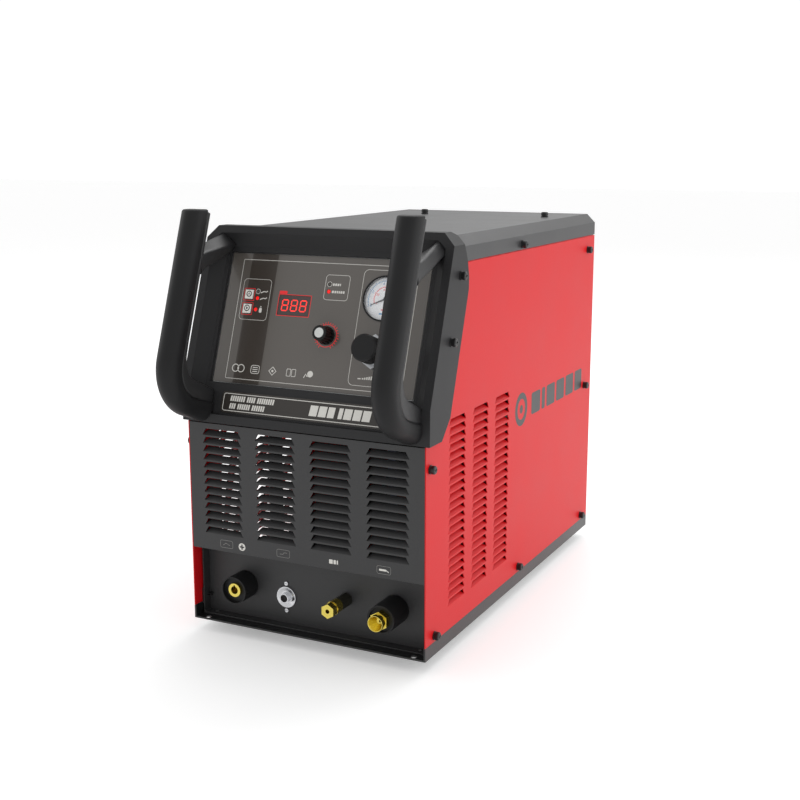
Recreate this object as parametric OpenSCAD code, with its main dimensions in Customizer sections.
// Air plasma cutter power unit: a louvred sheet-metal cabinet on a tray, with a moulded front bezel,
// a sloping control panel, two lifting handles, front connectors and the inverter inside it.
// Inside place() the origin is on the floor of the tray, at the middle of its front edge:
// +X to the right, +Y to the rear, +Z up.

/* [Cabinet] */
// Width over the side panels
cabinet_w = 300; // [250:1:380]
// Length of the tray from its front edge to its rear edge
cabinet_l = 555; // [520:1:680]
// Height of the cover's top above the tray's underside
cabinet_h = 451.5; // [400:0.5:560]
// Thickness of the panels and the cover
sheet = 1.2; // [1:0.1:1.6]
// Thickness of the tray
tray_sheet = 2; // [1.6:0.1:2.4]
// Height of the tray's outer walls
tray_wall_h = 15.5; // [12:0.5:20]
// Height of the tray's inner flanges, which take the lower screws
tray_flange_h = 32; // [28:1:40]
// Height of the rubber feet
foot_h = 15; // [8:1:30]
// Diameter of a rubber foot
foot_d = 30; // [20:1:40]
// Inset of each foot from the side and the end of the tray
foot_inset = 50; // [35:1:70]
// Gap between panels that lie side by side
panel_gap = 0.2; // [0.1:0.05:0.4]

/* [Cover] */
// Depth of the cover's side skirts below its top
skirt_drop = 28; // [24:1:40]
// Chamfer along the cover's top edges
cover_chamfer = 11.5; // [6:0.5:16]
// Shadow gap between the cover and the side panels
cover_gap = 1; // [0.5:0.1:2]
// Height of the side panel's flange behind the skirt
side_flange_h = 15; // [10:1:18]

/* [Front] */
// How far the connector panel stands behind the front edge
recess_depth = 27; // [20:1:35]
// Height of the opening in front of the connector panel
recess_h = 87.9; // [80:0.1:110]
// Depth of the flanges that frame the connector panel
recess_flange = 13; // [8:1:18]
// Shadow gap between the louvre panel and the bezel
bezel_gap = 1.8; // [1:0.1:3]
// Diameter of the tray's corner holes
tray_hole_d = 7; // [5:0.5:9]
// Distance of the corner holes from the ends of the tray
tray_hole_inset = 4.7; // [4.2:0.1:8]
// Distance of the corner holes from the sides of the tray
tray_hole_side = 16; // [12:0.5:30]

/* [Louvres] */
// Opening height of a front louvre
front_louvre_h = 7.8; // [5:0.1:8.5]
// Width of a front louvre at its bottom
front_louvre_w = 52; // [40:1:56]
// Spacing of the front rows
front_pitch = 9.65; // [9:0.05:12]
// Most rows in a front column
front_rows_max = 13; // [4:1:16]
// Opening height of a side louvre
side_louvre_h = 7.4; // [5:0.1:8]
// Width of a side louvre at its bottom
side_louvre_w = 47; // [36:1:54]
// Spacing of the side rows
side_pitch = 9.33; // [8.6:0.01:12]
// Rows in a side column
side_rows = 24; // [6:1:24]
// Spacing of the side columns
side_column_pitch = 66; // [60:1:72]
// Middle of the first side column, from the front edge
side_column_y = 81.5; // [75:0.5:100]
// Angle of each flap behind its panel
flap_angle = 48; // [30:1:60]
// How much narrower a louvre is at its top, on each side
louvre_taper = 4.4; // [2:0.1:6]

/* [Bezel] */
// How far the bezel stands out of the cabinet's sides
cheek_t = 5.3; // [4:0.1:8]
// How far the bezel stands above the cover
bezel_rise = 4.8; // [4:0.1:8]
// Height of the bezel
bezel_h = 217; // [200:1:240]
// Height of the upright strip at the bottom of the bezel
bezel_upright = 38.6; // [34:0.1:44]
// Slope of the control face from the vertical, in degrees
face_slant = 19.5; // [12:0.5:24]
// Width of the rim around the recessed control face
rim_w = 9.5; // [7:0.5:12]
// Height of the rim under the recessed face
lower_rim_h = 10.2; // [8:0.1:14]
// Depth of the recessed face behind the rim
face_depth = 13; // [9:0.5:16]
// In-plane width of the bevel between rim and face
bevel_w = 12.5; // [8:0.5:15]
// Thickness of the bezel behind the recessed face
face_wall = 4; // [3:0.5:6]
// Chamfer at the bezel's top corners
bezel_chamfer = 13.4; // [8:0.1:18]

/* [Controls] */
// Distance from the sides of the cabinet to the window
window_side = 21.5; // [20:0.5:26]
// Height of the window, along the slope
window_h = 152; // [148:1:156]
// Distance of the window's lower edge above the bend, along the slope
window_low = 10.5; // [8:0.5:13]
// Gap around the overlay inside the window
overlay_gap = 1.6; // [0.8:0.1:2.4]
// Depth of the overlay's face behind the recessed face
overlay_drop = 3; // [2:0.5:3.4]
// Diameter of the current knob
knob_d = 20.5; // [18:0.5:26]
// Height of the current knob
knob_h = 17; // [12:0.5:22]
// Diameter of the knob's metal cap
knob_cap_d = 11; // [8:0.5:14]
// Diameter of the potentiometer's shaft
shaft_d = 6; // [4:0.1:7]
// Diameter of the pressure gauge's rim
gauge_d = 50.8; // [44:0.2:54]
// Diameter of the regulator knob
reg_knob_d = 30; // [26:1:34]
// Length of the regulator knob
reg_knob_l = 18; // [14:1:22]
// Diameter of the regulator's spindle
spindle_d = 8; // [6:0.5:10]
// Pull of the regulator knob from locked to free
knob_pull = 3; // [2:0.5:3]
// Width of a key
key_w = 10.4; // [7:0.1:11]
// Travel of a key
key_travel = 0.6; // [0.4:0.1:0.8]
// Diameter of an indicator lamp
lamp_d = 4.4; // [2:0.1:5]

/* [Handles] */
// Width of the handle grips
grip_w = 28; // [24:1:30]
// Distance from the cabinet's side to the middle of a handle
handle_inset = 18.5; // [17:0.5:24]
// Distance of the grip's front from the rim
grip_reach = 78; // [70:1:90]
// Length of a grip above the bend, along the slope
grip_top = 189; // [180:1:195]
// Radius of the bend, at the middle of the grip's round face
bend_r = 42; // [38:1:48]
// Depth of the grip's straight sides
grip_side = 7; // [4:0.5:9]
// Thickness of the frame behind the grip
strap_t = 6; // [4:0.5:8]
// How much narrower the frame is than the grip, on each side
strap_inset = 1; // [0.5:0.25:2]

/* [Connectors] */
// Outer diameter of the work socket
socket_d = 32.4; // [28:0.2:36]
// Diameter of the plug hole in the work socket
socket_bore = 9.2; // [8:0.1:12]
// Diameter of the torch connector's body
torch_d = 32.6; // [28:0.2:36]
// Diameter of the torch connector's brass mouth
torch_mouth_d = 17.8; // [15:0.1:20]
// Width across the flats of the pilot terminal's insulator
pilot_hex = 14.2; // [12:0.1:18]
// Diameter of the pilot terminal's plug hole
pilot_bore = 5; // [3:0.1:6]
// Diameter of the signal connector's flange
signal_d = 25; // [22:0.5:28]
// Diameter of the signal connector's barrel
signal_barrel_d = 11.2; // [9:0.1:14]

/* [Rear] */
// How far the rear panel stands inside the rear edge
rear_inset = 12; // [8:1:20]
// Outer size of the square fan frame
fan_size = 180; // [150:1:190]
// Depth of the fan frame
fan_depth = 38; // [30:1:50]
// Height of the fan's axis above the tray
fan_z = 300; // [270:1:300]
// Number of fan blades
fan_blades = 7; // [5:1:9]
// Bore of the cable gland
gland_bore = 18; // [12:0.5:20]
// How far the cable gland stands out of the rear panel
gland_out = 28; // [24:1:36]
// Diameter of the air inlet's push-in stem
inlet_d = 9; // [8:0.5:12]

/* [Inside] */
// Height of the shelf above the tray's underside
shelf_z = 200; // [180:1:204]
// Half the width left for parts between the louvre flaps
inner_half = 118; // [100:1:120]
// Height of the heatsink's fins
fin_h = 50; // [30:1:56]
// Number of heatsink fins
fin_count = 15; // [8:1:18]
// Outer diameter of an air hose
hose_d = 10; // [8:0.5:12]

/* [Fits] */
// Radial running clearance of a shaft in its bore
running = 0.05; // [0.02:0.01:0.1]
// Gap between bodies that move past each other
clear = 0.4; // [0.3:0.05:0.6]
// Clearance of a screw in its hole
screw_gap = 0.1; // [0.05:0.05:0.3]
// Clearance of a piece that sits in a hole of its panel
seat_gap = 0.3; // [0.1:0.05:0.5]

/* [Hidden] */
$fn = 48;
big = 1000;
through = 1;

half_w = cabinet_w / 2;
side_in = half_w - sheet;
flange_out = side_in - panel_gap;
tray_flange_in = flange_out - tray_sheet;
inner_flange_in = tray_flange_in - sheet;
side_bottom = tray_wall_h + panel_gap;
skirt_bottom = cabinet_h - skirt_drop;
side_top = skirt_bottom - cover_gap;
side_flange_top = side_top + side_flange_h;
cover_under = cabinet_h - sheet;
tan_half = tan(22.5);

bezel_top = cabinet_h + bezel_rise;
bezel_bottom = bezel_top - bezel_h;
bezel_half = half_w + cheek_t;
face_y = -1.8;
face_z = bezel_bottom + bezel_upright;
foot_of_face_y = -2.6;
body_clear = 0.3;
slope_cos = cos(face_slant);
slope_sin = sin(face_slant);
slope_tan = tan(face_slant);
rim_top_v = (bezel_top - face_z) / slope_cos;
ledge_z = bezel_bottom + lower_rim_h;
face_back = -(face_depth + face_wall);
rim_x = bezel_half - rim_w;
rim_v = rim_top_v - rim_w + 1.2;
rim_corner = rim_x + rim_v - 9.4;
lip_y = slope_y(bezel_top, 0) + 25.3;

window_half = half_w - window_side;
window_top = window_low + window_h;
overlay_half = window_half - overlay_gap - 0.6;
overlay_e = -(face_depth + overlay_drop);
plate_t = sheet;
plate_half = half_w - 10;
board_e = -26.4;
board_t = 1.6;

left_x = -window_half;
right_x = window_half;
gauge_x = right_x - 53.9;
gauge_v = window_low + 107.8;
reg_x = gauge_x;
reg_v = window_low + 48.2;
knob_x = 11.2;
knob_v = window_low + 62.6;
key_x = left_x + 32.2;
key_vs = [window_low + 103.5, window_low + 87];
lamps = [
    [left_x + 43.3, window_low + 107.4],
    [left_x + 43.3, window_low + 99.7],
    [left_x + 43.3, window_low + 86.6],
    [5.4, window_low + 120.3],
    [5.4, window_low + 112.1]
];
display_x = -36;
display_v = window_low + 93.7;
display_w = 40.8;
display_h = 23.4;

handle_x = half_w - handle_inset;
grip_r = grip_w / 2;
bend_e = grip_reach - grip_r - bend_r;
bend_v = 20.5;
seam_r = bend_r - grip_side;
strap_r = seam_r - strap_t;
strap_e = bend_e + strap_r;
inner_bend_r = strap_r - 4;
inner_bend_v = inner_bend_r + 5;
inner_bend_e = strap_e - inner_bend_r;
strap_w = grip_w - 2 * strap_inset;
bolt_d = 8;
bolt_x = handle_x - 4.5;
bolt_v = -6.2;

louvre_bottom = recess_h;
louvre_top = bezel_bottom - bezel_gap;
front_rows = min(front_rows_max, floor((louvre_top - louvre_bottom - 24) / front_pitch));
front_first_z = louvre_top - 14.2;
front_columns = [-1.5, -0.5, 0.5, 1.5];
front_column_pitch = (cabinet_w - 20) / 4;
side_first_z = min(248.9, side_top - 20);
side_rows_fit = min(side_rows, floor((side_first_z - tray_flange_h) / side_pitch));

rear_face = cabinet_l - rear_inset;
rear_flange = 38;
mid_y = (rear_face + gland_out - front_reach()) / 2;

socket_at = [-half_w + 55.5, 42];
signal_at = [-39.2, 34.8];
pilot_at = [39, 45];
torch_at = [half_w - 48.9, 43.8];
signal_screw_r = 16.3;

screw_d = 4;
screw_l = 9;
spring_washer_t = 1.6;
flat_washer_t = 1;

fan_bore = fan_size - 10;
fan_y = rear_face - sheet - fan_depth;
hub_d = 72;
axle_d = 8;
blade_gap = 4;
switch_at = [-78, 150];
switch_w = 54;
switch_h = 46;
switch_out = 10;
toggle_r = 9;
toggle_pin_d = 4;
toggle_tilt = 25;
toggle_z = 4;
gland_at = [-72, 66];
gland_d = 32;
inlet_at = [108, 60];
inlet_out = 24;
inlet_in = 16;

core_w = 118;
core_l = 90;
core_h = 112;
core_y = cabinet_l - 235;
choke_d = 96;
choke_h = 54;
choke_y = 205;
sink_y = 150;
sink_l = cabinet_l - 305;
sink_half = 90;
sink_base = 10;
module_h = 21;
valve_y = 52;
hose_x = -inlet_at[0];
hose_bend = 18;

black_paint = [0.13, 0.13, 0.13];
grey_black = [0.25, 0.25, 0.25];
panel_red = [0.78, 0.12, 0.13];
grip_black = [0.08, 0.08, 0.08];
strap_grey = [0.2, 0.2, 0.2];
brass = [0.78, 0.62, 0.25];
chrome = [0.8, 0.8, 0.82];
zinc = [0.62, 0.62, 0.6];
overlay_grey = [0.33, 0.31, 0.29];
board_green = [0.1, 0.35, 0.2];
alloy = [0.72, 0.73, 0.74];
copper = [0.72, 0.42, 0.22];

// --- places and helpers -------------------------------------------------------------------

// Y of the sloping face, moved out by e along its normal, at height z
function slope_y(z, e) = face_y + (z - face_z) * slope_tan - e / slope_cos;

// How far the handles' bends reach in front of the tray
function front_reach() = bend_e * slope_cos - bend_v * slope_sin - face_y + bend_r + grip_r;

// From the cabinet's own corner to the part's frame
module place() {
    translate([0, -mid_y, foot_h])
        children();
}

// X across, Y up the slope, Z out of the sloping face, from the bend line
module on_face() {
    translate([0, face_y, face_z])
        rotate([90 - face_slant, 0, 0])
            children();
}

// X across, Y up, Z towards the front, from the plane at y
module on_front(y = 0) {
    translate([0, y, 0])
        rotate([90, 0, 0])
            children();
}

// X across seen from behind, Y up, Z to the rear, from the plane at y
module on_rear(y = 0) {
    translate([0, y, 0])
        rotate([90, 0, 180])
            children();
}

// X to the rear, Y up, Z out of the right-hand side, from the plane at x
module on_right(x) {
    translate([x, 0, 0])
        rotate([90, 0, 90])
            children();
}

module mirrored(side) {
    mirror([side < 0 ? 1 : 0, 0, 0])
        children();
}

module both_sides() {
    for (side = [-1, 1])
        mirrored(side)
            children();
}

// A box from one corner to the other
module block(low, high) {
    translate(low)
        cube(high - low);
}

module disc(r, z0, z1) {
    translate([0, 0, z0])
        cylinder(r = r, h = z1 - z0);
}

module ring(outer, inner, z0, z1) {
    difference() {
        disc(outer, z0, z1);
        disc(inner, z0 - through, z1 + through);
    }
}

module hexagon(flats, z0, z1) {
    translate([0, 0, z0])
        rotate([0, 0, 30])
            cylinder(d = flats / cos(30), h = z1 - z0, $fn = 6);
}

// A panel nut over a thread of radius r
module panel_nut(flats, r, z0, z1) {
    difference() {
        hexagon(flats, z0, z1);
        disc(r + screw_gap, z0 - through, z1 + through);
    }
}

module round_rect(w, h, r) {
    for (x = [-1, 1], y = [-1, 1])
        translate([x * (w / 2 - r), y * (h / 2 - r)])
            circle(r);
    square([w - 2 * r, h], center = true);
    square([w, h - 2 * r], center = true);
}

// --- screws -------------------------------------------------------------------------------

// Pan head with a cross recess over a spring washer and a flat washer, seated on z = 0
module combination_screw(length = screw_l) {
    head_z = flat_washer_t + spring_washer_t;
    head_r = 4.7;
    head_h = 4;
    difference() {
        union() {
            disc(5, 0, flat_washer_t);
            disc(4.3, flat_washer_t, head_z);
            disc(head_r, head_z, head_z + head_h - 1);
            translate([0, 0, head_z + head_h - 1])
                cylinder(r1 = head_r, r2 = head_r - 1, h = 1);
            disc(screw_d / 2, -length, through);
        }
        for (turn = [0, 90])
            rotate([0, 0, turn])
                translate([-2.6, -0.6, head_z + head_h - 1.8])
                    cube([5.2, 1.2, 3]);
    }
}

side_screws = [
    [cabinet_l - 29, side_top - 18.5],
    [cabinet_l - 29, 213.6],
    [cabinet_l - 29, 22.7],
    [cabinet_l / 2 - 1.5, 22.7],
    [23.2, 22.7],
    [10.4, min(212.8, louvre_top - 25)]
];
cover_side_screw = [cabinet_l / 2 - 6.5, skirt_bottom + 6.1];
cheek_screws = [
    [slope_y(bezel_top - 45.7, face_back) + 11.5, bezel_top - 45.7],
    [slope_y(bezel_top - 113.9, face_back) + 11.5, bezel_top - 113.9]
];
top_screws = [[-half_w + 84, cabinet_l - 99], [half_w - 39, cabinet_l - 99]];

module screw_holes(places, r) {
    for (at = places)
        translate([at[0], at[1], 0])
            disc(r, -20, 20);
}

module panel_screws() {
    color(grip_black) place() {
        both_sides() {
            on_right(half_w) {
                for (at = side_screws)
                    translate([at[0], at[1], 0])
                        combination_screw();
                translate([cover_side_screw[0], cover_side_screw[1], 0])
                    combination_screw();
            }
            on_right(bezel_half)
                for (at = cheek_screws)
                    translate([at[0], at[1], 0])
                        combination_screw(cheek_t + screw_l);
        }
        for (at = top_screws)
            translate([at[0], at[1], cabinet_h])
                combination_screw();
    }
}

// --- cabinet ------------------------------------------------------------------------------

module tray_corner_holes() {
    for (side = [-1, 1], y = [tray_hole_inset, cabinet_l - tray_hole_inset])
        translate([side * (half_w - tray_hole_side), y, 0])
            disc(tray_hole_d / 2, -through, tray_sheet + through);
}

module base_tray() {
    flange_y = recess_depth - recess_flange;
    color(black_paint) place() difference() {
        union() {
            block([-half_w, 0, 0], [half_w, cabinet_l, tray_sheet]);
            both_sides() {
                block([half_w - tray_sheet, 0, 0], [half_w, cabinet_l, tray_wall_h]);
                block([tray_flange_in, flange_y, tray_wall_h - tray_sheet],
                      [half_w, cabinet_l - 2, tray_wall_h]);
                block([tray_flange_in, flange_y, tray_wall_h - tray_sheet],
                      [flange_out, cabinet_l - 2, tray_flange_h]);
            }
        }
        tray_corner_holes();
        both_sides() {
            on_right(half_w)
                screw_holes([side_screws[2], side_screws[3], side_screws[4]],
                            screw_d / 2 + screw_gap);
            for (y = [foot_inset, cabinet_l - foot_inset])
                translate([half_w - foot_inset, y, 0])
                    disc(2.6, -through, tray_sheet + through);
            translate([half_w - tray_hole_side - 0.5, recess_depth - 5.4, 0])
                disc(2.5, -through, tray_sheet + through);
        }
    }
}

module rubber_feet() {
    color(grip_black) place() both_sides()
        for (y = [foot_inset, cabinet_l - foot_inset])
            translate([half_w - foot_inset, y, -foot_h])
                difference() {
                    union() {
                        cylinder(d1 = foot_d - 4, d2 = foot_d, h = foot_h);
                        disc(2.5, foot_h - through, foot_h + tray_sheet);
                    }
                    disc(5, -through, foot_h / 2);
                }
}

// One flap and its opening, both a trapezoid with the wide side down
module louvre_outline(w, h) {
    polygon([[-w / 2, 0], [w / 2, 0], [w / 2 - louvre_taper, h], [-w / 2 + louvre_taper, h]]);
}

module louvre_flaps(columns, rows, first, pitch, w, h) {
    for (x = columns, row = [0 : rows - 1])
        translate([x, first - row * pitch, 0])
            rotate([-flap_angle, 0, 0])
                translate([0, 0, -sheet])
                    linear_extrude(sheet)
                        louvre_outline(w, h);
}

module louvre_openings(columns, rows, first, pitch, w, h) {
    for (x = columns, row = [0 : rows - 1])
        translate([x, first - row * pitch])
            louvre_outline(w, h);
}

side_columns = [for (i = [0 : 2]) side_column_y + i * side_column_pitch];

module side_panel(side) {
    back = cabinet_l;
    edge_top = slope_y(side_top, face_back) + 1;
    edge_low = slope_y(bezel_bottom, face_back) + 1;
    color(panel_red) place() mirrored(side) {
        on_right(half_w)
            difference() {
                union() {
                    translate([0, 0, -sheet])
                        linear_extrude(sheet)
                            difference() {
                                polygon([
                                    [0, side_bottom], [back, side_bottom],
                                    [back, side_top], [edge_top, side_top],
                                    [edge_low, bezel_bottom],
                                    [edge_low, bezel_bottom - 1], [0, bezel_bottom - 1]
                                ]);
                                louvre_openings(side_columns, side_rows_fit, side_first_z,
                                                side_pitch, side_louvre_w, side_louvre_h);
                            }
                    louvre_flaps(side_columns, side_rows_fit, side_first_z,
                                 side_pitch, side_louvre_w, side_louvre_h);
                    side_panel_flange(edge_top + 8);
                }
                screw_holes(side_screws, screw_d / 2 + screw_gap);
                screw_holes(cheek_screws, screw_d / 2 + screw_gap);
                screw_holes([cover_side_screw], screw_d / 2 + screw_gap);
            }
    }
}

// The stepped flange along the panel's top, which stands behind the cover's skirt
module side_panel_flange(front) {
    block([front, side_top - sheet, -2 * sheet - panel_gap], [cabinet_l - 2, side_top, 0]);
    block([front, side_top - sheet, -2 * sheet - panel_gap],
          [cabinet_l - 2, side_flange_top, -sheet - panel_gap]);
}

module left_side_panel() {
    side_panel(-1);
}

module right_side_panel() {
    side_panel(1);
}

module cabinet_arch(half, top, chamfer, bottom) {
    polygon([
        [-half, bottom], [half, bottom], [half, top - chamfer], [half - chamfer, top],
        [-half + chamfer, top], [-half, top - chamfer]
    ]);
}

module top_cover() {
    front = slope_y(cabinet_h, face_back) + 1;
    inner_chamfer = cover_chamfer + sheet * (tan_half - 1);
    color(grey_black) place() difference() {
        on_front(cabinet_l)
            linear_extrude(cabinet_l - front)
                difference() {
                    cabinet_arch(half_w, cabinet_h, cover_chamfer, skirt_bottom);
                    cabinet_arch(side_in, cover_under, inner_chamfer, skirt_bottom - through);
                }
        both_sides()
            on_right(half_w)
                screw_holes([cover_side_screw], screw_d / 2 + screw_gap);
        translate([0, 0, cabinet_h])
            screw_holes(top_screws, screw_d / 2 + screw_gap);
    }
}

// Angle under the cover that takes its top screws
module cross_rail() {
    y = top_screws[0][1];
    rail_half = side_in - 2 * sheet - cover_chamfer;
    color(zinc) place() difference() {
        union() {
            block([-rail_half, y - 12, cover_under - 1.5], [rail_half, y + 12, cover_under]);
            block([-rail_half, y - 12, cover_under - 18], [rail_half, y - 10.5, cover_under]);
        }
        translate([0, 0, cabinet_h])
            screw_holes(top_screws, screw_d / 2 + screw_gap);
    }
}

module rear_panel_outline() {
    top = cover_under - panel_gap;
    cabinet_arch(tray_flange_in, top, cover_chamfer, tray_sheet);
}

module rear_panel() {
    color(black_paint) place() difference() {
        union() {
            on_front(rear_face)
                linear_extrude(sheet)
                    difference() {
                        rear_panel_outline();
                        translate([0, fan_z])
                            circle(d = fan_bore);
                        for (x = [-1, 1], z = [-1, 1])
                            translate([x * (fan_size / 2 - 8), fan_z + z * (fan_size / 2 - 8)])
                                circle(r = 2.2);
                        translate([-gland_at[0], gland_at[1]])
                            circle(d = gland_bore + 6 + 2 * seat_gap);
                        translate([-inlet_at[0], inlet_at[1]])
                            circle(d = 14 + 2 * seat_gap);
                        translate([-switch_at[0], switch_at[1]])
                            square([switch_w + 2 * seat_gap, switch_h + 2 * seat_gap],
                                   center = true);
                    }
            both_sides()
                block([inner_flange_in, rear_face - rear_flange, tray_sheet],
                      [tray_flange_in, rear_face, cover_under - cover_chamfer - 8]);
            block([-half_w + 24, rear_face - 18, cover_under - panel_gap - sheet],
                  [half_w - 24, rear_face, cover_under - panel_gap]);
        }
        both_sides()
            on_right(half_w)
                screw_holes([side_screws[0], side_screws[1], side_screws[2]],
                            screw_d / 2 + screw_gap);
    }
}

// --- front panels -------------------------------------------------------------------------

module louvre_panel() {
    columns = [for (c = front_columns) c * front_column_pitch];
    edge = flange_out;
    color(grey_black) place() difference() {
        union() {
            on_front() {
                translate([0, 0, -sheet])
                    linear_extrude(sheet)
                        difference() {
                            translate([-edge, louvre_bottom])
                                square([2 * edge, louvre_top - louvre_bottom]);
                            louvre_openings(columns, front_rows, front_first_z,
                                            front_pitch, front_louvre_w, front_louvre_h);
                        }
                louvre_flaps(columns, front_rows, front_first_z,
                             front_pitch, front_louvre_w, front_louvre_h);
            }
            block([-edge, 0, louvre_bottom],
                  [edge, recess_depth - panel_gap, louvre_bottom + sheet]);
            block([-edge, 0, louvre_top - sheet], [edge, 14, louvre_top]);
            both_sides()
                block([edge - sheet, 0, louvre_bottom], [edge, 20, louvre_top]);
        }
        both_sides()
            on_right(half_w)
                screw_holes([side_screws[5]], screw_d / 2 + screw_gap);
    }
}

module connector_holes() {
    translate(socket_at)
        circle(d = socket_d - 4 + 2 * seat_gap);
    translate(signal_at)
        circle(d = signal_barrel_d + 2 * seat_gap);
    for (z = [-1, 1])
        translate(signal_at + [0, z * signal_screw_r])
            circle(d = 2.6);
    translate(pilot_at)
        circle(d = 10 + 2 * seat_gap);
    translate(torch_at)
        circle(d = torch_d - 4 + 2 * seat_gap);
}

module connector_panel() {
    front = recess_depth - recess_flange;
    top = louvre_bottom + 14;
    flange_top = louvre_bottom - panel_gap;
    color(black_paint) place() difference() {
        union() {
            on_front(recess_depth)
                translate([0, 0, -sheet])
                    linear_extrude(sheet)
                        difference() {
                            translate([-tray_flange_in, tray_sheet])
                                square([2 * tray_flange_in, top - tray_sheet]);
                            connector_holes();
                        }
            both_sides()
                block([inner_flange_in, front, tray_sheet],
                      [tray_flange_in, recess_depth, flange_top]);
            block([-inner_flange_in, front, tray_sheet],
                  [inner_flange_in, recess_depth, tray_sheet + sheet]);
        }
        both_sides() {
            on_right(half_w)
                screw_holes([side_screws[4]], screw_d / 2 + screw_gap);
            translate([half_w - tray_hole_side - 0.5, recess_depth - 5.4, 0])
                disc(2.5, -through, tray_sheet + 3);
        }
    }
}

// --- bezel --------------------------------------------------------------------------------

// Side view of the bezel, with its bulged cheek behind the sloping face
module bezel_side_outline() {
    top = bezel_top;
    polygon([
        [foot_of_face_y, bezel_bottom], [face_y, face_z], [slope_y(top, 0), top],
        [lip_y - 9, top], [lip_y, top - 4.3], [lip_y - 2, top - 14], [lip_y + 3, top - 23.6],
        [lip_y + 6.6, top - 33], [lip_y + 10, top - 48.5], [lip_y + 9.6, top - 62],
        [lip_y - 36.8, top - 195], [lip_y - 58.4, bezel_bottom]
    ]);
}

// A bevelled bar along the slope: the recess reaches to limit at the rim and narrows inwards
module bevel_profile(limit) {
    slope = bevel_w / face_depth;
    polygon([
        [-big, 20], [limit + 20 * slope, 20],
        [limit - bevel_w, -face_depth], [-big, -face_depth]
    ]);
}

// Everything on the near side of a bevel that turns by angle in the plane of the face
module bevel_side(angle, limit) {
    rotate([0, 0, angle])
        rotate([90, 0, 0])
            translate([0, 0, -big])
                linear_extrude(2 * big)
                    bevel_profile(limit);
}

module face_recess() {
    corner = rim_corner / sqrt(2);
    intersection() {
        on_face()
            intersection() {
                bevel_side(0, rim_x);
                bevel_side(180, rim_x);
                bevel_side(90, rim_v);
                bevel_side(45, corner);
                bevel_side(135, corner);
            }
        block([-half_w, -big / 2, ledge_z], [half_w, big / 2, big]);
    }
}

module bezel_solid() {
    difference() {
        intersection() {
            on_right(-bezel_half)
                linear_extrude(2 * bezel_half)
                    bezel_side_outline();
            on_front(big / 2)
                linear_extrude(big)
                    cabinet_arch(bezel_half, bezel_top, bezel_chamfer, bezel_bottom - through);
        }
        face_recess();
    }
}

module bezel_cavity() {
    intersection() {
        on_front(big / 2)
            linear_extrude(big)
                cabinet_arch(half_w + body_clear, cabinet_h + body_clear,
                             cover_chamfer, bezel_bottom - 2 * through);
        on_face()
            block([-big / 2, -big / 2, -big], [big / 2, big / 2, face_back]);
    }
}

module front_bezel() {
    color(grey_black) place() difference() {
        bezel_solid();
        bezel_cavity();
        on_face() {
            block([-window_half, window_low, face_back - through],
                  [window_half, window_top, -face_depth + through]);
            both_sides()
                translate([bolt_x, bolt_v, 0])
                    disc(bolt_d / 2 + 0.2, face_back - through, 0);
        }
        both_sides()
            on_right(half_w)
                screw_holes(cheek_screws, screw_d / 2 + screw_gap);
    }
}

// Rounded decal plate under the control window
module label_strip() {
    strip_h = 24.4;
    color(overlay_grey) place() on_face()
        translate([0, window_low - 9.4 - strip_h / 2, -face_depth])
            linear_extrude(0.6)
                round_rect(cabinet_w - 84.6, strip_h, 4);
}

// --- control panel ------------------------------------------------------------------------

module control_holes() {
    translate([gauge_x, gauge_v])
        circle(d = gauge_d - 1.2);
    translate([reg_x, reg_v])
        circle(r = 13.8);
    translate([knob_x, knob_v])
        circle(d = shaft_d + 3 + 2 * seat_gap);
    translate([display_x, display_v])
        square([display_w, display_h], center = true);
    for (v = key_vs)
        translate([key_x, v])
            square(key_w + 2 * clear, center = true);
    for (at = lamps)
        translate(at)
            circle(d = lamp_d + 0.4);
}

module control_plate() {
    color(zinc) place() on_face()
        translate([0, 0, face_back - plate_t])
            linear_extrude(plate_t)
                difference() {
                    translate([-plate_half, window_low - 8])
                        square([2 * plate_half, window_h + 16]);
                    control_holes();
                }
}

module control_overlay() {
    color(overlay_grey) place() on_face()
        translate([0, 0, face_back])
            linear_extrude(overlay_e - face_back)
                difference() {
                    translate([-overlay_half, window_low + 0.9])
                        square([2 * overlay_half, window_h - 1.6]);
                    control_holes();
                }
}

module control_board() {
    edge_l = left_x + 14;
    edge_r = gauge_x - gauge_d / 2 - 4;
    low = window_low + 34;
    high = window_top - 10;
    post_r = 3;
    color(board_green) place() on_face() difference() {
        union() {
            block([edge_l, low, board_e - board_t], [edge_r, high, board_e]);
            for (x = [edge_l + 5, edge_r - 5], v = [low + 5, high - 5])
                translate([x, v, 0])
                    disc(post_r, board_e - through, face_back - plate_t);
            for (v = key_vs)
                translate([key_x, v, 0])
                    block([-3, -3, board_e - 0.5], [3, 3, board_e + 3.6]);
            block([edge_l + 10, low + 2, board_e - board_t - 9],
                  [edge_l + 50, low + 10, board_e - board_t]);
            block([edge_l + 60, low + 20, board_e - board_t - 3],
                  [edge_l + 90, low + 50, board_e - board_t]);
        }
        translate([knob_x, knob_v, 0])
            disc(13, board_e - board_t - through, board_e + through);
    }
}

module potentiometer() {
    bush_r = shaft_d / 2 + 1.5;
    back = face_back - plate_t;
    color(zinc) place() on_face()
        translate([knob_x, knob_v, 0])
            difference() {
                union() {
                    disc(12, back - 13, back);
                    disc(bush_r, back - through, overlay_e + 3.6);
                }
                disc(shaft_d / 2 + running, back - 11, 0);
            }
}

module potentiometer_shaft() {
    back = face_back - plate_t;
    color(alloy) place() on_face()
        translate([knob_x, knob_v, 0])
            disc(shaft_d / 2, back - 10.6, overlay_e + knob_h - 4);
}

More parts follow.
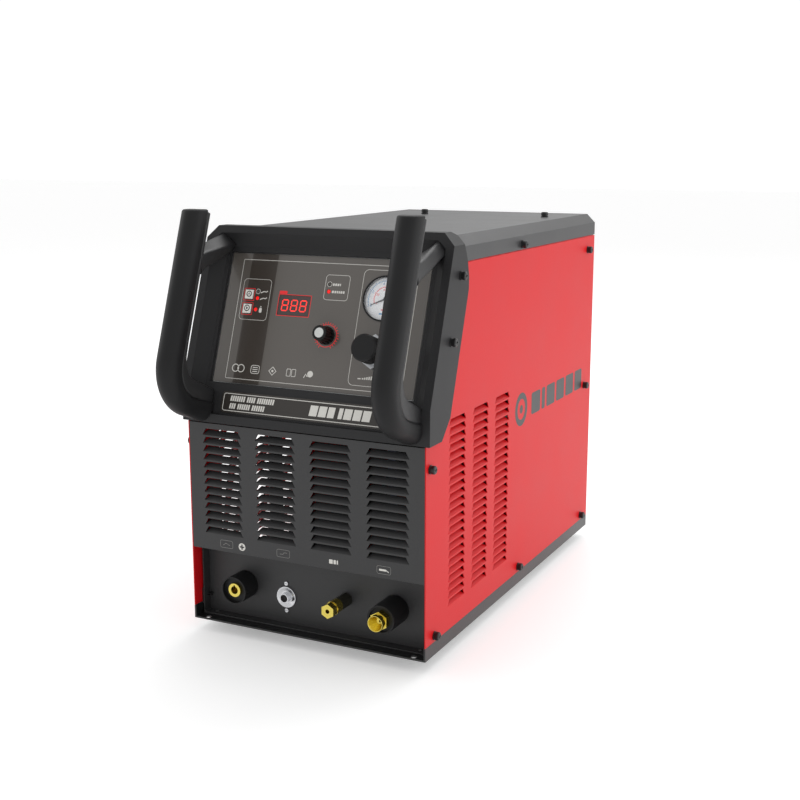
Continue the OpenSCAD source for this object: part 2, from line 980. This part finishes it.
module current_knob() {
    base = overlay_e + clear;
    top = overlay_e + knob_h;
    flutes = 16;
    color(grip_black) place() on_face()
        translate([knob_x, knob_v, 0])
            difference() {
                union() {
                    disc(knob_d / 2, base, base + 3);
                    translate([0, 0, base + 3])
                        cylinder(d1 = knob_d - 1.5, d2 = knob_d - 3.5, h = top - base - 3);
                }
                disc(shaft_d / 2 + 2.5, base - through, base + 4.4);
                disc(shaft_d / 2, base, top - 4);
                disc(knob_cap_d / 2, top - 1.2, top + through);
                for (i = [0 : flutes - 1])
                    rotate([0, 0, (i + 0.5) * 360 / flutes])
                        translate([knob_d / 2 - 0.75, 0, 0])
                            disc(1.3, base + 1.6, top + through);
                translate([-0.5, knob_d / 2 - 5, top - 0.6])
                    cube([1, 5, 2]);
            }
}

module knob_cap() {
    top = overlay_e + knob_h;
    color(alloy) place() on_face()
        translate([knob_x, knob_v, top - 1.2])
            cylinder(d = knob_cap_d, h = 1.6);
}

// --- pressure gauge and regulator ---------------------------------------------------------

gauge_cup_r = gauge_d / 2 - 0.8;
gauge_in_r = gauge_cup_r - 1;
gauge_front = overlay_e + 1.5;
dial_e = overlay_e - 3.2;
arbor_r = 0.9;

module gauge_case() {
    color(grip_black) place() on_face()
        translate([gauge_x, gauge_v, 0])
            difference() {
                union() {
                    disc(gauge_d / 2, overlay_e, gauge_front);
                    disc(gauge_cup_r, -38, overlay_e + 0.5);
                    disc(5, -52, -37);
                }
                disc(gauge_in_r, -36.5, gauge_front + through);
            }
}

module gauge_dial() {
    color("white") place() on_face()
        translate([gauge_x, gauge_v, 0])
            ring(gauge_in_r, arbor_r + running, dial_e - 0.8, dial_e);
}

module gauge_needle() {
    rest_angle = 204;
    color(grip_black) place() on_face()
        translate([gauge_x, gauge_v, 0])
            rotate([0, 0, rest_angle]) {
                translate([0, 0, dial_e + 0.6])
                    linear_extrude(0.5)
                        polygon([[-6, -1], [-6, 1], [0, 1.1], [18, 0.25], [18, -0.25], [0, -1.1]]);
                disc(2.2, dial_e + 0.5, dial_e + 1.5);
                disc(arbor_r, dial_e - 4, dial_e + 0.6);
            }
}

module gauge_lens() {
    color([0.9, 0.95, 1, 0.3]) place() on_face()
        translate([gauge_x, gauge_v, 0])
            disc(gauge_in_r, gauge_front - 1.4, gauge_front - 0.2);
}

reg_back = face_back - plate_t;
reg_knob_e = overlay_e + 13;
bonnet_r = reg_knob_d / 2 - 1.6;
bonnet_in = knob_pull + 3;
reg_block = 44;
reg_block_l = 52;
reg_port_y = slope_y(reg_z(), reg_back - 30);

// Height of the regulator's ports above the tray
function reg_z() = face_z + reg_v * slope_cos + (reg_back - 30) * slope_sin;

module regulator_block() {
    on_face()
        translate([reg_x - reg_block / 2, reg_v - reg_block / 2, reg_back - reg_block_l])
            cube([reg_block, reg_block, reg_block_l]);
}

module regulator_body() {
    nut_flats = 33;
    color(alloy) place() difference() {
        union() {
            regulator_block();
            on_face()
                translate([reg_x, reg_v, 0]) {
                    disc(bonnet_r, reg_back - through, reg_knob_e + bonnet_in);
                    hexagon(nut_flats, overlay_e, overlay_e + 7);
                }
        }
        on_face()
            translate([reg_x, reg_v, 0])
                disc(spindle_d / 2 + running, reg_back - 30, reg_knob_e + bonnet_in + through);
    }
}

module regulator_spindle() {
    color(chrome) place() on_face()
        translate([reg_x, reg_v, 0])
            disc(spindle_d / 2, reg_back - 28, reg_knob_e + 11);
}

module regulator_knob() {
    top = reg_knob_e + reg_knob_l;
    ribs = 24;
    color(grip_black) place() on_face()
        translate([reg_x, reg_v, 0])
            difference() {
                union() {
                    disc(reg_knob_d / 2, reg_knob_e, top - 1.5);
                    translate([0, 0, top - 1.5])
                        cylinder(d1 = reg_knob_d, d2 = reg_knob_d - 3, h = 1.5);
                }
                disc(bonnet_r + clear, reg_knob_e - through, reg_knob_e + bonnet_in + clear);
                disc(spindle_d / 2 + running, reg_knob_e, top - 3);
                for (i = [0 : ribs - 1])
                    rotate([0, 0, i * 360 / ribs])
                        translate([reg_knob_d / 2 + 0.5, 0, 0])
                            disc(1, reg_knob_e + 2, top - 2.5);
            }
}

// --- display, lamps and keys --------------------------------------------------------------

module display_module() {
    face = overlay_e - 0.3;
    color([0.35, 0.03, 0.04]) place() on_face()
        translate([display_x, display_v, 0]) {
            block([-display_w / 2 + 0.3, -display_h / 2 + 0.3, board_e],
                  [display_w / 2 - 0.3, display_h / 2 - 0.3, face]);
        }
}

module indicator_lamps() {
    color([0.8, 0.1, 0.1]) place() on_face()
        for (at = lamps)
            translate([at[0], at[1], 0]) {
                disc(lamp_d / 2, board_e, overlay_e - 0.5);
                translate([0, 0, overlay_e - 0.5])
                    cylinder(d1 = lamp_d, d2 = lamp_d - 1.6, h = 0.9);
            }
}

module key(v) {
    place()
        on_face()
            translate([key_x, v, 0]) {
                block([-key_w / 2, -key_w / 2, face_back - 0.6],
                      [key_w / 2, key_w / 2, overlay_e + 0.8]);
                disc(2, board_e + 3.6 + key_travel + 0.2, face_back - 0.5);
            }
}

module mode_key() {
    color([0.85, 0.85, 0.85]) key(key_vs[0]);
}

module gas_key() {
    color([0.85, 0.85, 0.85]) key(key_vs[1]);
}

// --- handles ------------------------------------------------------------------------------

// Everything inside a band that runs down the slope, round the bend and back to the bezel.
// X is the distance out of the face and Y runs up the slope.
module inside_band(r) {
    translate([-60, bend_v])
        square([60 + bend_e + r, grip_top - bend_v]);
    translate([-60, bend_v - r])
        square([60 + bend_e, r]);
    translate([bend_e, bend_v])
        circle(r);
}

module strap_inside() {
    translate([-60, inner_bend_v])
        square([60 + strap_e, big]);
    polygon([
        [-60, 0], [-face_depth, 1], [inner_bend_e, 5], [inner_bend_e, inner_bend_v],
        [-60, inner_bend_v]
    ]);
    translate([inner_bend_e, inner_bend_v])
        circle(inner_bend_r);
}

// The bar from the back of the grip up to the bezel's top corner
module brace_outline() {
    polygon([
        [strap_e + 1, 119], [strap_e + 1, 143], [-face_depth - 1, 190], [-face_depth - 1, 166]
    ]);
}

module handle_frame(side) {
    color(strap_grey) place() mirrored(side)
        difference() {
            intersection() {
                face_slab(handle_x - strap_w / 2, strap_w)
                    union() {
                        difference() {
                            inside_band(seam_r);
                            strap_inside();
                        }
                        brace_outline();
                    }
                on_face()
                    block([0, -100, -face_depth - 1], [big, big, big]);
            }
            bezel_solid();
            on_face()
                translate([bolt_x, bolt_v, 0])
                    disc(bolt_d / 2 + screw_gap, -big, 14);
        }
}

// A slab from x to x + width, drawn with X out of the face and Y up the slope
module face_slab(x, width) {
    on_face()
        multmatrix([[0, 0, 1, x], [0, 1, 0, 0], [1, 0, 0, 0], [0, 0, 0, 1]])
            linear_extrude(width)
                children();
}

// Section of the grip: X across, Y outwards from the seam side
module grip_section() {
    intersection() {
        union() {
            circle(grip_r);
            translate([-grip_r, -grip_side])
                square([grip_w, grip_side]);
        }
        translate([-grip_r, -grip_side])
            square([grip_w, grip_side + grip_r]);
    }
}

module handle_grip(side) {
    color(grip_black) place() mirrored(side)
        difference() {
            on_face()
                translate([handle_x, 0, 0]) {
                    translate([0, bend_v, bend_e + bend_r])
                        rotate([-90, 0, 0])
                            mirror([0, 1, 0])
                                linear_extrude(grip_top - bend_v + grip_r)
                                    grip_section();
                    translate([0, bend_v, bend_e])
                        rotate([0, 90, 0])
                            rotate([0, 0, 180])
                                rotate_extrude(angle = 90)
                                    translate([bend_r, 0])
                                        rotate([0, 0, -90])
                                            grip_section();
                    translate([0, bend_v - bend_r, -face_depth - 1])
                        mirror([0, 1, 0])
                            linear_extrude(bend_e + face_depth + 1)
                                grip_section();
                }
            bezel_solid();
            // the ends are cut level
            translate([0, -big / 2, face_z + grip_top * slope_cos + (bend_e + bend_r) * slope_sin])
                cube(big);
        }
}

module left_handle_frame() {
    handle_frame(-1);
}

module right_handle_frame() {
    handle_frame(1);
}

module left_handle_grip() {
    handle_grip(-1);
}

module right_handle_grip() {
    handle_grip(1);
}

module handle_bolts() {
    color(zinc) place() on_face() both_sides()
        translate([bolt_x, bolt_v, 0])
            difference() {
                union() {
                    disc(bolt_d / 2, face_back - through, 12);
                    disc(6.5, face_back - 6, face_back);
                }
                hexagon(6, face_back - 6 - through, face_back - 2);
            }
}

// --- front connectors ---------------------------------------------------------------------

module at_connector(at) {
    place()
        on_front(recess_depth)
            translate([at[0], at[1], 0])
                children();
}

contact_r = 8;
torch_thread_r = 6;
pilot_thread_r = 3;

module work_socket_body() {
    front = recess_depth;
    thread_r = socket_d / 2 - 2;
    color(grip_black) at_connector(socket_at) {
        difference() {
            union() {
                disc(socket_d / 2, 0, front);
                disc(thread_r, -20, through);
            }
            disc(socket_d / 2 - 1.2, front - 5, front + through);
            disc(contact_r, -20 - through, front);
        }
        panel_nut(socket_d + 4, thread_r, -sheet - 6, -sheet);
    }
}

module work_socket_contact() {
    front = recess_depth - 1.5;
    depth = 25;
    key_r = socket_bore / 2;
    color(brass) at_connector(socket_at)
        difference() {
            union() {
                disc(contact_r, -30, front);
                disc(contact_r + 3, -26, -20);
            }
            disc(key_r, front - depth, front + through);
            translate([0, 0, front - depth])
                linear_extrude(depth + through)
                    polygon([[-1.9, key_r * 0.8], [1.9, key_r * 0.8], [0, key_r + 2]]);
        }
}

module signal_connector() {
    barrel_r = signal_barrel_d / 2;
    wall = 1.1;
    color(chrome) at_connector(signal_at) {
        difference() {
            union() {
                disc(signal_d / 2, 0, 2);
                disc(barrel_r, -14, 7);
            }
            difference() {
                translate([0, 0, 0.8])
                    cylinder(r1 = barrel_r + 2, r2 = signal_d / 2 - 0.6, h = 1.3);
                disc(barrel_r, 0, 8);
            }
            disc(barrel_r - wall, -14 - through, 7 + through);
        }
        panel_nut(signal_barrel_d + 5, barrel_r, -sheet - 3, -sheet);
        for (z = [-1, 1])
            translate([0, z * signal_screw_r, 0])
                difference() {
                    union() {
                        disc(2.4, 0, 1.6);
                        disc(1.2, -5, through);
                    }
                    block([-3, -0.35, 1], [3, 0.35, 3]);
                }
    }
}

module signal_connector_insert() {
    pins = 7;
    color([0.45, 0.45, 0.47]) at_connector(signal_at)
        difference() {
            disc(signal_barrel_d / 2 - 1.1, -12, 5.2);
            for (i = [0 : pins - 1])
                rotate([0, 0, i * 360 / pins])
                    translate([2.7, 0, 0])
                        disc(0.5, 3, 6);
        }
}

module pilot_insulator() {
    color([0.16, 0.17, 0.12]) at_connector(pilot_at)
        difference() {
            union() {
                hexagon(pilot_hex, 0, 22);
                disc(5, -8, through);
            }
            disc(pilot_thread_r, -8 - through, 22 + through);
        }
}

module pilot_terminal() {
    tip = 43.5;
    color(brass) at_connector(pilot_at) {
        difference() {
            union() {
                disc(pilot_thread_r, -18, 23);
                disc(pilot_hex / 2 + 0.9, 22, 33);
                disc(pilot_hex / 2 - 0.4, 33, 35);
                hexagon(pilot_hex + 0.4, 35, tip);
            }
            disc(pilot_bore / 2, 26, tip + through);
        }
        panel_nut(10, pilot_thread_r, -12, -8);
    }
}

module torch_insulator() {
    front = 37;
    thread_r = torch_d / 2 - 2;
    color(grip_black) at_connector(torch_at) {
        difference() {
            union() {
                disc(torch_d / 2, 0, front);
                disc(thread_r, -16, through);
            }
            disc(torch_d / 2 - 2.2, front - 3, front + through);
            disc(torch_thread_r, -17, front);
        }
        panel_nut(torch_d + 4, thread_r, -sheet - 7, -sheet);
    }
}

module torch_connector() {
    base = 34;
    hex_t = 8;
    mouth = 50;
    color(brass) at_connector(torch_at)
        difference() {
            union() {
                disc(torch_thread_r, -24, base + through);
                hexagon(19, base, base + hex_t);
                disc(torch_mouth_d / 2, base + hex_t, mouth);
            }
            translate([0, 0, base + hex_t - 2])
                cylinder(r1 = 3, r2 = torch_mouth_d / 2 - 0.6, h = mouth - base - hex_t + 2.01);
            translate([1.2, 0, 0])
                disc(1.5, base - 6, mouth);
        }
}

// --- inside -------------------------------------------------------------------------------

module inner_shelf() {
    front = 118;
    back = fan_y - 20;
    leg_w = 30;
    leg_t = 1.5;
    leg_low = tray_sheet;
    color(zinc) place() {
        block([-inner_half, front, shelf_z - leg_t], [inner_half, back, shelf_z]);
        both_sides()
            for (y = [front, back - leg_w]) {
                block([inner_half - leg_t, y, leg_low], [inner_half, y + leg_w, shelf_z]);
                block([inner_half - leg_t, y, leg_low], [inner_half + 10, y + leg_w, leg_low + leg_t]);
            }
    }
}

module heatsink() {
    pitch = (2 * sink_half - 2) / (fin_count - 1);
    color(alloy) place() {
        block([-sink_half, sink_y, shelf_z + fin_h],
              [sink_half, sink_y + sink_l, shelf_z + fin_h + sink_base]);
        for (i = [0 : fin_count - 1])
            block([-sink_half + i * pitch, sink_y, shelf_z],
                  [-sink_half + i * pitch + 2, sink_y + sink_l, shelf_z + fin_h + through]);
    }
}

module_z = shelf_z + fin_h + sink_base;
power_board_z = module_z + module_h;

module power_modules() {
    color(grip_black) place()
        for (x = [-1, 1], y = [0 : 2])
            translate([x * 42, sink_y + 24 + y * (sink_l - 40) / 3, module_z]) {
                block([-30, 0, 0], [30, 34, module_h - 4]);
                for (post = [-18, 0, 18])
                    translate([post, 17, 0])
                        disc(3.5, module_h - 5, module_h);
            }
}

module power_board() {
    color(board_green) place()
        block([-sink_half - 8, sink_y + 8, power_board_z],
              [sink_half + 8, sink_y + sink_l - 4, power_board_z + 1.6]);
}

module bus_capacitors() {
    cap_r = 17.5;
    cap_h = 52;
    color([0.1, 0.12, 0.3]) place()
        for (x = [-1, 0, 1], y = [0, 1])
            translate([x * 52, sink_y + 46 + y * 92, power_board_z + 1.6])
                difference() {
                    disc(cap_r, 0, cap_h);
                    ring(cap_r - 1.2, cap_r - 3, cap_h - 1.4, cap_h + through);
                }
}

module transformer_core() {
    leg = 24;
    z0 = tray_sheet;
    color([0.2, 0.2, 0.22]) place() difference() {
        block([-core_w / 2, core_y, z0], [core_w / 2, core_y + core_l / 2, z0 + core_h]);
        for (side = [-1, 1])
            translate([side * (core_w / 4 - 3), 0, z0])
                block([-core_w / 4 + leg / 2 + 3, core_y - through, leg],
                      [core_w / 4 - leg / 2 - 3, core_y + core_l, core_h - leg]);
    }
}

module transformer_winding() {
    leg = 24;
    z0 = tray_sheet + leg + 3;
    wide = core_w / 2 - leg - 3;
    color(copper) place() difference() {
        block([-wide, core_y - 20, z0],
              [wide, core_y + core_l / 2 + 20, z0 + core_h - 2 * leg - 6]);
        block([-leg / 2 - 0.6, core_y - 0.6, z0 - through],
              [leg / 2 + 0.6, core_y + core_l / 2 + 0.6, z0 + core_h]);
    }
}

module output_choke() {
    color(copper) place()
        translate([0, choke_y, tray_sheet])
            ring(choke_d / 2, 22, 0, choke_h);
}

valve_half = 14;
valve_l = 48;
drop_y = recess_depth + valve_y - 7;

module solenoid_valve() {
    x = torch_at[0];
    y = recess_depth + valve_y;
    coil_r = 11;
    color(brass) place()
        translate([x, y, torch_at[1]]) {
            block([valve_half - valve_l, -16, -valve_half], [valve_half, 16, valve_half]);
            disc(coil_r, valve_half - through, 52);
            rotate([90, 0, 0])
                disc(5, 15, valve_y - 24);
        }
}

// A quarter turn of hose in the plane of X and Y, from +X towards +Y
module hose_turn() {
    rotate_extrude(angle = 90)
        translate([hose_bend, 0])
            circle(d = hose_d);
}

module hose_run(length) {
    cylinder(d = hose_d, h = length);
}

module air_hoses() {
    start = rear_face - sheet - inlet_in;
    riser_y = reg_port_y;
    rise_z = inlet_at[1] + hose_bend;
    top_z = reg_z();
    cross = reg_x - reg_block / 2 - hose_x - hose_bend;
    valve_top = torch_at[1] + valve_half;
    color([0.15, 0.2, 0.5]) place() {
        translate([hose_x, riser_y + hose_bend, inlet_at[1]])
            rotate([-90, 0, 0])
                hose_run(start - riser_y - hose_bend);
        translate([hose_x, riser_y + hose_bend, rise_z])
            rotate([-90, 0, -90])
                hose_turn();
        translate([hose_x, riser_y, rise_z])
            hose_run(top_z - hose_bend - rise_z);
        translate([hose_x + hose_bend, riser_y, top_z - hose_bend])
            rotate([90, 0, 180])
                hose_turn();
        translate([hose_x + hose_bend, riser_y, top_z])
            rotate([0, 90, 0])
                hose_run(cross);
        difference() {
            translate([reg_x, drop_y, valve_top])
                hose_run(top_z - valve_top);
            regulator_block();
        }
    }
}

// --- rear fittings ------------------------------------------------------------------------

module at_fan() {
    place()
        translate([0, fan_y, fan_z])
            rotate([-90, 0, 0])
                children();
}

module fan_frame() {
    spoke = 6;
    color(grip_black) at_fan()
        difference() {
            union() {
                difference() {
                    translate([0, 0, fan_depth / 2])
                        cube([fan_size, fan_size, fan_depth], center = true);
                    disc(fan_bore / 2, -through, fan_depth + through);
                }
                disc(hub_d / 2 - 4, 0, 5);
                for (turn = [45, 135])
                    rotate([0, 0, turn])
                        block([-fan_bore / 2 - 2, -spoke / 2, 0], [fan_bore / 2 + 2, spoke / 2, 4]);
                disc(axle_d / 2 + 4, 0, 14);
            }
            disc(axle_d / 2 + running, -through, fan_depth);
            for (x = [-1, 1], y = [-1, 1])
                translate([x * (fan_size / 2 - 8), y * (fan_size / 2 - 8), 0])
                    disc(2.2, -through, fan_depth + through);
        }
}

module fan_rotor() {
    blade_low = 9;
    blade_high = fan_depth - 6;
    tip_r = fan_bore / 2 - blade_gap;
    color([0.18, 0.18, 0.2]) at_fan() {
        difference() {
            disc(hub_d / 2, blade_low, blade_high);
            disc(hub_d / 2 - 3, blade_low - through, blade_high - 4);
        }
        disc(axle_d / 2, 1, blade_high - 3);
        for (i = [0 : fan_blades - 1])
            rotate([0, 0, (i + 0.5) * 360 / fan_blades])
                intersection() {
                    ring(tip_r, hub_d / 2 - 1, blade_low + 1.5, blade_high - 1.5);
                    translate([tip_r / 2 + 10, 0, (blade_low + blade_high) / 2])
                        rotate([38, 0, 0])
                            cube([tip_r, 2.2, 60], center = true);
                }
    }
}

module fan_guard() {
    wire = 3;
    rings = 6;
    step = (fan_bore / 2 - 14) / (rings - 1);
    color(chrome) place()
        on_rear(rear_face) {
            for (i = [0 : rings - 1])
                translate([0, fan_z, 5])
                    rotate_extrude()
                        translate([14 + i * step, 0])
                            circle(d = wire);
            translate([0, fan_z, 0])
                for (turn = [45, 135])
                    rotate([0, 0, turn]) {
                        block([-fan_bore / 2 - 28, -3, 2.6], [fan_bore / 2 + 28, 3, 4]);
                        for (side = [-1, 1])
                            translate([side * (fan_size / 2 - 8) * sqrt(2), 0, 0]) {
                                disc(5, 0, 4);
                                disc(2, -sheet - fan_depth + 2, 6);
                                disc(4, 4, 7);
                            }
                    }
        }
}

module at_rear(at) {
    place()
        on_rear(rear_face)
            translate([at[0], at[1], 0])
                children();
}

module mains_switch() {
    slot_half = toggle_r + clear;
    lever_w = 30;
    color(grip_black) at_rear(switch_at)
        difference() {
            union() {
                translate([0, 0, -30])
                    linear_extrude(30 + switch_out - 6)
                        square([switch_w, switch_h], center = true);
                translate([0, 0, 0])
                    linear_extrude(2.5)
                        round_rect(switch_w + 12, switch_h + 12, 4);
                block([-switch_w / 2, -12, 0], [switch_w / 2, 12, switch_out]);
            }
            rotate([0, 90, 0])
                translate([-toggle_z, 0, 0])
                    disc(slot_half, -lever_w / 2 - clear, lever_w / 2 + clear);
            block([-lever_w / 2 - clear, -slot_half, toggle_z],
                  [lever_w / 2 + clear, slot_half, switch_out + through]);
            rotate([0, 90, 0])
                translate([-toggle_z, 0, 0])
                    disc(toggle_pin_d / 2 + running, -lever_w / 2 - 5, lever_w / 2 + 5);
        }
}

module mains_toggle() {
    lever_w = 30;
    lever_l = 24;
    color([0.75, 0.1, 0.1]) at_rear(switch_at)
        translate([0, 0, toggle_z])
            rotate([toggle_tilt, 0, 0]) {
                rotate([0, 90, 0]) {
                    disc(toggle_r, -lever_w / 2, lever_w / 2);
                    disc(toggle_pin_d / 2, -lever_w / 2 - 4.5, lever_w / 2 + 4.5);
                }
                block([-lever_w / 2, -2.5, 0], [lever_w / 2, 2.5, lever_l]);
            }
}

module cable_gland() {
    body_r = gland_bore / 2 + 3;
    cap = gland_out - 8;
    color(grip_black) at_rear(gland_at) {
        difference() {
            union() {
                disc(body_r, -14, cap);
                hexagon(gland_d, 0, 7);
                hexagon(gland_d - 2, 9, cap);
                translate([0, 0, cap])
                    cylinder(r1 = body_r + 3, r2 = body_r, h = 8);
            }
            disc(gland_bore / 2, -14 - through, gland_out + through);
        }
        panel_nut(gland_d, body_r, -sheet - 6, -sheet);
    }
}

// Hose tail with barbs, screwed into the rear panel
module air_inlet() {
    thread_r = 7;
    tail_r = inlet_d / 2;
    color(brass) at_rear(inlet_at) {
        difference() {
            union() {
                disc(thread_r, -sheet - inlet_in, through);
                hexagon(19, 0, 7);
                disc(tail_r, 7, inlet_out);
            }
            disc(tail_r - 1.6, -sheet - inlet_in + 1, inlet_out + through);
        }
        panel_nut(19, thread_r, -sheet - 5, -sheet);
    }
}

base_tray();
rubber_feet();
left_side_panel();
right_side_panel();
top_cover();
rear_panel();
louvre_panel();
connector_panel();
cross_rail();
front_bezel();
control_plate();
control_overlay();
label_strip();
left_handle_frame();
right_handle_frame();
left_handle_grip();
right_handle_grip();
handle_bolts();
panel_screws();
work_socket_body();
work_socket_contact();
signal_connector();
signal_connector_insert();
pilot_insulator();
pilot_terminal();
torch_insulator();
torch_connector();
potentiometer();
potentiometer_shaft();
current_knob();
knob_cap();
gauge_case();
gauge_dial();
gauge_needle();
gauge_lens();
regulator_body();
regulator_spindle();
regulator_knob();
display_module();
indicator_lamps();
mode_key();
gas_key();
control_board();
inner_shelf();
heatsink();
power_modules();
power_board();
bus_capacitors();
transformer_core();
transformer_winding();
output_choke();
solenoid_valve();
air_hoses();
fan_frame();
fan_rotor();
fan_guard();
mains_switch();
mains_toggle();
cable_gland();
air_inlet();
